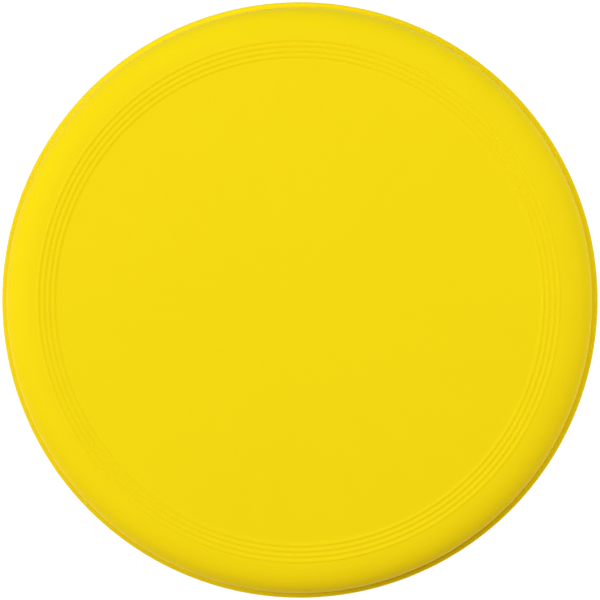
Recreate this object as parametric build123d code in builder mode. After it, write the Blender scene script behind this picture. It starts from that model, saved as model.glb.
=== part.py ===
from build123d import *
from math import atan, cos, degrees, radians, sin, tan
import os

# A closed flying disc, injection-moulded in one piece from a tough, slightly flexible plastic.
# It is a shallow dish turned upside down: a flat plate, four grip ribs round the plate's edge, a rounded
# shoulder, a near-vertical rim wall and a small flange that stands proud all round the foot.
#
# Frame: millimetres, +Z up along the disc's axis, origin on the axis in the plane of the foot.

# Driving dimensions
OUTER_RADIUS = 115.0  # over the flange
HEIGHT = 22.0  # from the foot to the crest of the outermost rib
PLATE_THICKNESS = 1.6
WALL_THICKNESS = 2.0

RIB_COUNT = 4
RIB_PITCH = 2.045
RIB_HEIGHT = 0.3
RIB_CLIMB = 4.4  # degrees that the ribbed band rises outwards
FIRST_RIB_RADIUS = 93.1

SHOULDER_RADIUS = 112.4  # where the shoulder becomes the rim wall
SHOULDER_FULLNESS = 0.62  # 0.55 is a quarter of an ellipse, and more is squarer
RIM_HEIGHT = 9.1  # where the rim wall ends and the shoulder begins
RIM_DRAFT = 1.0  # degrees, so that the wall leaves its mould

FLANGE_HEIGHT = 3.0
FLANGE_TOP_ROUND = 1.1
FLANGE_FOOT_ROUND = 0.7
CREASE_ROUND = 0.8
INNER_FOOT_ROUND = 0.9

GATE_RADIUS = 1.5  # stub left where the plastic entered, under the middle of the plate
GATE_LENGTH = 0.4
GATE_TAPER = 20.0

# In section the ribs are a chain of equal arcs, which turn up and down by the same angle about the climb
rib_turn = degrees(2 * atan(2 * RIB_HEIGHT / RIB_PITCH))
rib_arc_radius = RIB_PITCH / (4 * sin(radians(rib_turn)))
first_turn = rib_turn + RIB_CLIMB
last_turn = rib_turn - RIB_CLIMB

# Where the plate stops being flat, worked back from the first rib's place and the outermost rib's crest
plate_radius = (
    FIRST_RIB_RADIUS
    - RIB_PITCH / 4 * cos(radians(RIB_CLIMB))
    - rib_arc_radius * sin(radians(first_turn))
)
crest_rise = (
    2 * rib_arc_radius * (1 - cos(radians(first_turn)))
    + (RIB_COUNT - 1) * RIB_PITCH * sin(radians(RIB_CLIMB))
)
plate_top = HEIGHT - crest_rise
plate_underside = plate_top - PLATE_THICKNESS

rim_radius = SHOULDER_RADIUS - WALL_THICKNESS  # inside the wall, where the shoulder ends
draft = tan(radians(RIM_DRAFT))  # radius gained per millimetre down the wall

os.makedirs("parts", exist_ok=True)


def shoulder_curve(crown, rim):
    """A quarter turn in the section, level at the crown and upright at the rim, each a (radius, height)."""
    across = SHOULDER_FULLNESS * (rim[0] - crown[0])
    up = SHOULDER_FULLNESS * (crown[1] - rim[1])
    return Bezier(crown, (crown[0] + across, crown[1]), (rim[0], rim[1] + up), rim)


with BuildPart() as disc:
    with BuildSketch(Plane.XZ) as section:
        with BuildLine() as outline:
            # Upper face, from the axis outwards
            plate = Line((0, plate_top), (plate_radius, plate_top))
            rib = JernArc(plate @ 1, (1, 0), rib_arc_radius, first_turn)
            for number in range(1, 2 * RIB_COUNT):
                turn = -2 * rib_turn if number % 2 else 2 * rib_turn
                rib = JernArc(rib @ 1, rib % 1, rib_arc_radius, turn)
            rib = JernArc(rib @ 1, rib % 1, rib_arc_radius, last_turn)
            crown_radius = (rib @ 1).X
            crown_height = (rib @ 1).Y
            shoulder_curve((crown_radius, crown_height), (SHOULDER_RADIUS, RIM_HEIGHT))

            # Rim wall, flange, foot and inner wall
            FilletPolyline(
                (SHOULDER_RADIUS, RIM_HEIGHT),
                (SHOULDER_RADIUS + draft * (RIM_HEIGHT - FLANGE_HEIGHT), FLANGE_HEIGHT),
                (OUTER_RADIUS, FLANGE_HEIGHT),
                (OUTER_RADIUS, 0),
                (rim_radius + draft * RIM_HEIGHT, 0),
                (rim_radius, RIM_HEIGHT),
                radius=[CREASE_ROUND, FLANGE_TOP_ROUND, FLANGE_FOOT_ROUND, INNER_FOOT_ROUND],
            )

            # Hollow side, back to the axis
            shoulder_curve((crown_radius, plate_underside), (rim_radius, RIM_HEIGHT))
            Line((crown_radius, plate_underside), (0, plate_underside))
            Line((0, plate_underside), (0, plate_top))
        make_face()
    revolve(axis=Axis.Z)

    # Gate stub
    with BuildSketch(Plane.XY.offset(plate_underside)):
        Circle(GATE_RADIUS)
    extrude(amount=-GATE_LENGTH, taper=GATE_TAPER)

disc.part.label = "disc"
export_step(disc.part, "parts/disc.step")

print(f"plate: top {plate_top:.3f}, underside {plate_underside:.3f}, flat to radius {plate_radius:.2f}")
print(f"shoulder from radius {crown_radius:.2f}, height {crown_height:.3f}")
print(f"volume {disc.part.volume / 1000:.1f} cm3")
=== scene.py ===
from math import atan, cos, pi, radians, sin, tan

import bpy
from mathutils import Matrix, Vector
from mathutils.geometry import interpolate_bezier


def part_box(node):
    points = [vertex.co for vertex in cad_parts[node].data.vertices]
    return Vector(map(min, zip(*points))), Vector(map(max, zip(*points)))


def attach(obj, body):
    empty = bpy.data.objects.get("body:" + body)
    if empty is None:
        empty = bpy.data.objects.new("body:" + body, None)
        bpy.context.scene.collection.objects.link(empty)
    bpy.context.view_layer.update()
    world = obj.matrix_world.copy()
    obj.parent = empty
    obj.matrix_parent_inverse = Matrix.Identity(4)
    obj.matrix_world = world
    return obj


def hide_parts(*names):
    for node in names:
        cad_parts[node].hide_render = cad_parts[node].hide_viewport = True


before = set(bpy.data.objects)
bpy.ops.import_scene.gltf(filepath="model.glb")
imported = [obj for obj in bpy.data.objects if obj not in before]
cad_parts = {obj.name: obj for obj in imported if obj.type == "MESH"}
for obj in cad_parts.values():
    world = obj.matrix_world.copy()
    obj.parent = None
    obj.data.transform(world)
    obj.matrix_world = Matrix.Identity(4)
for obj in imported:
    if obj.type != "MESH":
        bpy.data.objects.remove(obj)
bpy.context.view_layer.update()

# A closed flying disc, one moulding in satin yellow plastic, lying on its foot on a white studio floor and
# seen from almost straight above. Everything is in metres, in the frame of the CAD model.

(_, _, foot), (outer_radius, _, crest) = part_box("disc")
MM = 0.001

# ---------------------------------------------------------------------------------------------
# The disc's section, worked out from the same driving dimensions as the CAD model
# ---------------------------------------------------------------------------------------------
PLATE_THICKNESS = 1.6 * MM
WALL_THICKNESS = 2.0 * MM

RIB_COUNT = 4
RIB_PITCH = 2.045 * MM
RIB_HEIGHT = 0.3 * MM
RIB_CLIMB = radians(4.4)
FIRST_RIB_RADIUS = 93.1 * MM

SHOULDER_RADIUS = 112.4 * MM
SHOULDER_FULLNESS = 0.62
RIM_HEIGHT = 9.1 * MM
RIM_DRAFT = radians(1.0)

FLANGE_HEIGHT = 3.0 * MM
FLANGE_TOP_ROUND = 1.1 * MM
FLANGE_FOOT_ROUND = 0.7 * MM
CREASE_ROUND = 0.8 * MM
INNER_FOOT_ROUND = 0.9 * MM

GATE_RADIUS = 1.5 * MM
GATE_END_RADIUS = 1.35 * MM
GATE_LENGTH = 0.4 * MM
GATE_ROUND = 0.08 * MM

AROUND = 384  # faces round the disc
PLATE_SUPPORT = 1.0 * MM  # width of the short faces that keep a flat face's shading flat up to its edge
GATE_SUPPORT = 0.4 * MM

rib_turn = 2 * atan(2 * RIB_HEIGHT / RIB_PITCH)
rib_arc_radius = RIB_PITCH / (4 * sin(rib_turn))
first_turn = rib_turn + RIB_CLIMB
last_turn = rib_turn - RIB_CLIMB
plate_radius = FIRST_RIB_RADIUS - RIB_PITCH / 4 * cos(RIB_CLIMB) - rib_arc_radius * sin(first_turn)
crest_rise = 2 * rib_arc_radius * (1 - cos(first_turn)) + (RIB_COUNT - 1) * RIB_PITCH * sin(RIB_CLIMB)
plate_top = crest - crest_rise
plate_underside = plate_top - PLATE_THICKNESS
rim_radius = SHOULDER_RADIUS - WALL_THICKNESS


def straight(end, steps, points):
    """Adds evenly spaced points to the section, from its last one to end."""
    start = points[-1]
    for step in range(1, steps + 1):
        share = step / steps
        points.append((start[0] + (end[0] - start[0]) * share, start[1] + (end[1] - start[1]) * share))


def turned_arc(radius, heading, turn, steps, points):
    """Adds an arc that leaves the last point along heading and turns by turn; returns the new heading."""
    side = 1 if turn > 0 else -1
    x, z = points[-1]
    centre = (x - side * radius * sin(heading), z + side * radius * cos(heading))
    for step in range(1, steps + 1):
        at = heading + turn * step / steps
        points.append((centre[0] + side * radius * sin(at), centre[1] - side * radius * cos(at)))
    return heading + turn


def shoulder_curve(crown, rim, steps, points):
    """Adds the quarter turn between plate and rim wall, from the end that the section has reached."""
    across = SHOULDER_FULLNESS * (rim[0] - crown[0])
    up = SHOULDER_FULLNESS * (crown[1] - rim[1])
    ends = [Vector(crown), Vector((crown[0] + across, crown[1])), Vector((rim[0], rim[1] + up)), Vector(rim)]
    if points[-1][1] < crown[1]:
        ends.reverse()
    curve = interpolate_bezier(*ends, steps + 1)
    points.extend(tuple(point) for point in curve[1:])


def rounded_corner(corner, after, radius, steps, points):
    """Adds a run towards a corner and the arc that rounds it, heading on towards the point after it."""
    before = Vector(points[-1])
    corner = Vector(corner)
    run_in = (corner - before).normalized()
    run_out = (Vector(after) - corner).normalized()
    turn = run_in.angle_signed(run_out) * -1
    setback = radius * tan(abs(turn) / 2)
    straight(tuple(corner - run_in * setback), 3, points)
    heading = Vector((1, 0)).angle_signed(run_in) * -1
    turned_arc(radius, heading, turn, steps, points)


def section():
    """The disc's section, as points (radius, height), from the top of the axis round to its bottom."""
    points = [(0.0, plate_top)]
    straight((plate_radius - PLATE_SUPPORT, plate_top), 12, points)
    straight((plate_radius, plate_top), 2, points)
    heading = turned_arc(rib_arc_radius, 0.0, first_turn, 6, points)
    for number in range(1, 2 * RIB_COUNT):
        turn = -2 * rib_turn if number % 2 else 2 * rib_turn
        heading = turned_arc(rib_arc_radius, heading, turn, 8, points)
    turned_arc(rib_arc_radius, heading, last_turn, 6, points)
    crown = points[-1]
    shoulder_curve(crown, (SHOULDER_RADIUS, RIM_HEIGHT), 44, points)

    wall_foot = (SHOULDER_RADIUS + tan(RIM_DRAFT) * (RIM_HEIGHT - FLANGE_HEIGHT), FLANGE_HEIGHT)
    flange_edge = (outer_radius, FLANGE_HEIGHT)
    flange_foot = (outer_radius, foot)
    inner_foot = (rim_radius + tan(RIM_DRAFT) * RIM_HEIGHT, foot)
    rim_top = (rim_radius, RIM_HEIGHT)
    rounded_corner(wall_foot, flange_edge, CREASE_ROUND, 10, points)
    rounded_corner(flange_edge, flange_foot, FLANGE_TOP_ROUND, 12, points)
    rounded_corner(flange_foot, inner_foot, FLANGE_FOOT_ROUND, 8, points)
    rounded_corner(inner_foot, rim_top, INNER_FOOT_ROUND, 8, points)
    straight(rim_top, 3, points)

    shoulder_curve((crown[0], plate_underside), rim_top, 30, points)

    gate_root = (GATE_RADIUS, plate_underside)
    gate_edge = (GATE_END_RADIUS, plate_underside - GATE_LENGTH)
    gate_middle = (0.0, plate_underside - GATE_LENGTH)
    straight((GATE_RADIUS + GATE_SUPPORT, plate_underside), 12, points)
    rounded_corner(gate_root, gate_edge, GATE_ROUND, 5, points)
    rounded_corner(gate_edge, gate_middle, GATE_ROUND, 5, points)
    straight(gate_middle, 3, points)
    return points


def lathe(name, outline):
    """A closed mesh, made by turning an outline that starts and ends on the axis."""
    rings = outline[1:-1]
    vertices = [(0.0, 0.0, outline[0][1])]
    for radius, height in rings:
        for number in range(AROUND):
            angle = 2 * pi * number / AROUND
            vertices.append((radius * cos(angle), radius * sin(angle), height))
    vertices.append((0.0, 0.0, outline[-1][1]))
    last = len(vertices) - 1

    faces = []
    for number in range(AROUND):
        following = (number + 1) % AROUND
        faces.append((0, 1 + number, 1 + following))
        for ring in range(len(rings) - 1):
            near = 1 + ring * AROUND
            far = near + AROUND
            faces.append((near + number, far + number, far + following, near + following))
        edge = 1 + (len(rings) - 1) * AROUND
        faces.append((edge + number, last, edge + following))
    mesh = bpy.data.meshes.new(name)
    mesh.from_pydata(vertices, [], faces)
    mesh.polygons.foreach_set("use_smooth", [True] * len(mesh.polygons))
    mesh.update()
    piece = bpy.data.objects.new(name, mesh)
    bpy.context.scene.collection.objects.link(piece)
    return piece


# ---------------------------------------------------------------------------------------------
# Materials, in the disc's own coordinates, in metres
# ---------------------------------------------------------------------------------------------
YELLOW = (0.872, 0.681, 0.0062)
YELLOW_DEEP = (0.854, 0.659, 0.0056)  # where more pigment has gathered
YELLOW_PALE = (0.882, 0.694, 0.0068)

CLOUD_SIZE = 42 * MM
CLOUD_SHARE = 0.5  # of the paler colour, at most
SPECK_SIZE = 1.4 * MM
SPECK_SHARE = 0.15  # of the deeper colour, at most, and so for the streaks
STREAK_SIZE = 5 * MM
STREAK_SHARE = 0.22
STREAK_CIRCLE = 50 * MM  # radius of the circle round the gate on which the streaks are laid out
STREAK_DRIFT = 0.12  # how fast they change with the distance from the gate
STREAKS_START = 4 * MM  # distances from the gate between which they set in
STREAKS_FULL = 30 * MM

ROUGHNESS = 0.29
RUBBED_SIZE = 17 * MM
RUBBED_ROUGHNESS = 0.08  # the most that the rubbed patches add, and so for the grain
GRAIN_ROUGHNESS = 0.04
INDEX = 1.25  # below the plastic's own 1.49, because the grain breaks up its mirror at grazing angles
SHEEN = 0.02  # next to no mirror from above

GRAIN_SIZE = 0.45 * MM
GRAIN_DEPTH = 0.010 * MM
CUTTER_PITCH = 0.9 * MM
CUTTER_DEPTH = 0.008 * MM
CUTTER_WANDER = 0.6 * MM  # how far the cutter's rings stray from true circles
CUTTER_WANDER_SIZE = 30 * MM


def add_node(tree, kind, inputs, **settings):
    """Adds a shader node. Each input is set to a value, or is linked if it is given a socket."""
    node = tree.nodes.new(kind)
    for name, value in settings.items():
        setattr(node, name, value)
    for name, value in inputs.items():
        if isinstance(value, bpy.types.NodeSocket):
            tree.links.new(value, node.inputs[name])
        else:
            node.inputs[name].default_value = value
    return node


def math_node(tree, operation, *values):
    """The result of a Math node on one, two or three values or sockets."""
    return add_node(tree, "ShaderNodeMath", dict(enumerate(values)), operation=operation).outputs[0]


def vector_node(tree, operation, *values, output="Vector"):
    """An output of a Vector Math node on one or two values or sockets."""
    node = add_node(tree, "ShaderNodeVectorMath", dict(enumerate(values)), operation=operation)
    return node.outputs[output]


def between(tree, factor, low, high, to_low, to_high):
    """A socket that goes from to_low to to_high as factor goes from low to high."""
    inputs = {"Value": factor, "From Min": low, "From Max": high, "To Min": to_low, "To Max": to_high}
    return add_node(tree, "ShaderNodeMapRange", inputs).outputs["Result"]


def noise(tree, vector, wavelength, detail=2.0):
    """Noise with features of about the wavelength, in metres, from 0 to 1 with its mean at 0.5."""
    inputs = {"Vector": vector, "Scale": 1 / wavelength, "Detail": detail, "Roughness": 0.55}
    return add_node(tree, "ShaderNodeTexNoise", inputs).outputs["Fac"]


def mixed_colour(tree, factor, colour, other):
    """A socket that goes from colour to other as factor goes from 0 to 1."""
    node = tree.nodes.new("ShaderNodeMix")
    node.data_type = "RGBA"
    for socket, value in ((node.inputs["Factor"], factor), (node.inputs[6], colour), (node.inputs[7], other)):
        if isinstance(value, bpy.types.NodeSocket):
            tree.links.new(value, socket)
        else:
            socket.default_value = (*value, 1.0) if isinstance(value, tuple) else value
    return node.outputs[2]


def yellow_plastic():
    """Satin moulded polypropylene: clouds and specks of pigment, streaks that flowed out from the gate, a
    fine grain, and on the hollow side the cutter's rings."""
    material = bpy.data.materials.new("yellow_plastic_satin")
    material.use_nodes = True
    tree = material.node_tree
    shader = tree.nodes["Principled BSDF"]
    place = tree.nodes.new("ShaderNodeTexCoord").outputs["Object"]
    level_place = vector_node(tree, "MULTIPLY", place, (1.0, 1.0, 0.0))
    radius = vector_node(tree, "LENGTH", level_place, output="Value")

    # Flow streaks: noise on the direction from the gate, which drifts slowly with the distance from it
    outward = vector_node(tree, "NORMALIZE", level_place)
    circle = vector_node(tree, "MULTIPLY", outward, (STREAK_CIRCLE, STREAK_CIRCLE, 0.0))
    drift = add_node(tree, "ShaderNodeCombineXYZ", {2: math_node(tree, "MULTIPLY", radius, STREAK_DRIFT)})
    streaks = noise(tree, vector_node(tree, "ADD", circle, drift.outputs[0]), STREAK_SIZE, 4.0)
    streaks_start = between(tree, radius, STREAKS_START, STREAKS_FULL, 0.0, 1.0)

    # Colour
    clouds = between(tree, noise(tree, place, CLOUD_SIZE, 3.0), 0.35, 0.65, 0.0, 1.0)
    specks = between(tree, noise(tree, place, SPECK_SIZE), 0.30, 0.70, 0.0, 1.0)
    cloudy = mixed_colour(tree, math_node(tree, "MULTIPLY", clouds, CLOUD_SHARE), YELLOW, YELLOW_PALE)
    flowed = between(tree, streaks, 0.35, 0.65, 0.0, STREAK_SHARE)
    streaky = mixed_colour(tree, math_node(tree, "MULTIPLY", flowed, streaks_start), cloudy, YELLOW_DEEP)
    pigment = mixed_colour(tree, math_node(tree, "MULTIPLY", specks, SPECK_SHARE), streaky, YELLOW_DEEP)
    tree.links.new(pigment, shader.inputs["Base Color"])

    # Gloss
    rubbed = noise(tree, place, RUBBED_SIZE, 3.0)
    grain = noise(tree, place, GRAIN_SIZE, 3.0)
    gloss = math_node(tree, "MULTIPLY_ADD", rubbed, RUBBED_ROUGHNESS, ROUGHNESS)
    gloss = math_node(tree, "MULTIPLY_ADD", grain, GRAIN_ROUGHNESS, gloss)
    tree.links.new(gloss, shader.inputs["Roughness"])
    shader.inputs["IOR"].default_value = INDEX
    shader.inputs["Specular IOR Level"].default_value = SHEEN

    # Relief: a fine spark-eroded grain everywhere, and on the hollow side the cutter's rings
    faces = tree.nodes.new("ShaderNodeNewGeometry").outputs["Normal"]
    rise = add_node(tree, "ShaderNodeSeparateXYZ", {0: faces}).outputs["Z"]
    hollow_side = between(tree, rise, -0.2, -0.6, 0.0, 1.0)
    wander = math_node(tree, "MULTIPLY", noise(tree, place, CUTTER_WANDER_SIZE), CUTTER_WANDER)
    turned = math_node(tree, "ADD", radius, wander)
    rings = math_node(tree, "SINE", math_node(tree, "MULTIPLY", turned, 2 * pi / CUTTER_PITCH))
    hollow_rings = math_node(tree, "MULTIPLY", rings, hollow_side)
    ring_height = math_node(tree, "MULTIPLY", hollow_rings, CUTTER_DEPTH)
    height = math_node(tree, "MULTIPLY_ADD", grain, GRAIN_DEPTH, ring_height)
    bump = add_node(tree, "ShaderNodeBump", {"Height": height, "Strength": 1.0, "Distance": 1.0})
    tree.links.new(bump.outputs["Normal"], shader.inputs["Normal"])
    return material


def floor_material():
    """A white table lit from below, so that it stays white all round the disc. It is so large that reflected
    rays find it by themselves: it isn't aimed at as a lamp, which leaves the image less noisy."""
    material = bpy.data.materials.new("studio_floor")
    material.use_nodes = True
    shader = material.node_tree.nodes["Principled BSDF"]
    shader.inputs["Base Color"].default_value = (0.08, 0.08, 0.08, 1)
    shader.inputs["Roughness"].default_value = 1.0
    shader.inputs["Specular IOR Level"].default_value = 0.0
    shader.inputs["Emission Color"].default_value = (1, 1, 1, 1)
    shader.inputs["Emission Strength"].default_value = 1.0
    material.cycles.emission_sampling = "NONE"
    return material


# ---------------------------------------------------------------------------------------------
# The disc
# ---------------------------------------------------------------------------------------------
disc = lathe("disc_moulding", section())
disc.data.materials.append(yellow_plastic())
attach(disc, "root")
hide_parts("disc")

# ---------------------------------------------------------------------------------------------
# Studio: floor, lights and camera
# ---------------------------------------------------------------------------------------------
bpy.ops.mesh.primitive_plane_add(size=6.0, location=(0, 0, foot))
floor = bpy.context.object
floor.name = "studio_floor"
floor.data.materials.append(floor_material())

# The room is dark overhead, and only the foot of its walls glows, as white as the table. Like the table, it
# isn't aimed at as a lamp.
WALL_GLOW = 1.05
GLOW_FADES = 0.04  # the sines of the elevations between which the glow fades
GLOW_ENDS = 0.13

world = bpy.data.worlds.new("studio")
world.use_nodes = True
room = world.node_tree
background = room.nodes["Background"]
direction = room.nodes.new("ShaderNodeTexCoord").outputs["Generated"]
room_height = add_node(room, "ShaderNodeSeparateXYZ", {0: direction}).outputs["Z"]
glow = between(room, room_height, GLOW_FADES, GLOW_ENDS, WALL_GLOW, 0.0)
glow.node.interpolation_type = "SMOOTHSTEP"
room.links.new(glow, background.inputs["Strength"])
background.inputs["Color"].default_value = (1, 1, 1, 1)
world.cycles.sampling_method = "NONE"
bpy.context.scene.world = world
bpy.context.scene.view_settings.view_transform = "Standard"


def looking(location, target, up):
    """The matrix of a camera or a lamp at location that faces target, with up towards its view's top."""
    back = (Vector(location) - Vector(target)).normalized()
    right = Vector(up).cross(back).normalized()
    return Matrix.Translation(location) @ Matrix((right, back.cross(right), back)).transposed().to_4x4()


SOFTBOX_DISTANCE = 1.5
SOFTBOX_SIDE = 0.7
SOFTBOX_UP = (0, 1, 0.2)  # no lamp lies this way
WHITE = (1.0, 1.0, 1.0)
AMBER = (1.0, 0.35, 0.18)


def softbox(name, bearing, elevation, power, colour=WHITE):
    """A square soft light on a dome round the disc, its angles in degrees and its power in watts. The bearing
    is counted from +X towards +Y."""
    lamp = bpy.data.lights.new(name, "AREA")
    lamp.size = SOFTBOX_SIDE
    lamp.energy = power
    lamp.color = colour
    holder = bpy.data.objects.new(name, lamp)
    flat = SOFTBOX_DISTANCE * cos(radians(elevation))
    rise = SOFTBOX_DISTANCE * sin(radians(elevation))
    place = (flat * cos(radians(bearing)), flat * sin(radians(bearing)), rise)
    holder.matrix_world = looking(place, (0, 0, 0), SOFTBOX_UP)
    bpy.context.scene.collection.objects.link(holder)


softbox("left_high", 180, 55, 7.85)
softbox("left_low", 180, 15, 4.8)
softbox("overhead", 135, 75, 7.5)
softbox("far_right_high", 45, 55, 7.7)
softbox("right", 0, 35, 3.5)
softbox("near_left_low", 225, 15, 1.4, AMBER)
softbox("near_right_low", 315, 15, 2.0, AMBER)

CAMERA_HEIGHT = 1.30
CAMERA_TILT = radians(1.56)
CAMERA_BEARING = radians(28.0)
CAMERA_AIM = (0.263 * MM, 0.097 * MM, foot + FLANGE_HEIGHT / 2)
LENS = 201.77  # millimetres, on a sensor of 36
SENSOR = 36.0

camera = bpy.data.objects.new("camera", bpy.data.cameras.new("camera"))
camera.data.lens = LENS
camera.data.sensor_width = SENSOR
off_axis = CAMERA_HEIGHT * tan(CAMERA_TILT)
camera_place = (off_axis * cos(CAMERA_BEARING), off_axis * sin(CAMERA_BEARING), CAMERA_HEIGHT)
camera.matrix_world = looking(camera_place, CAMERA_AIM, (0, 1, 0))
bpy.context.scene.collection.objects.link(camera)
bpy.context.scene.camera = camera
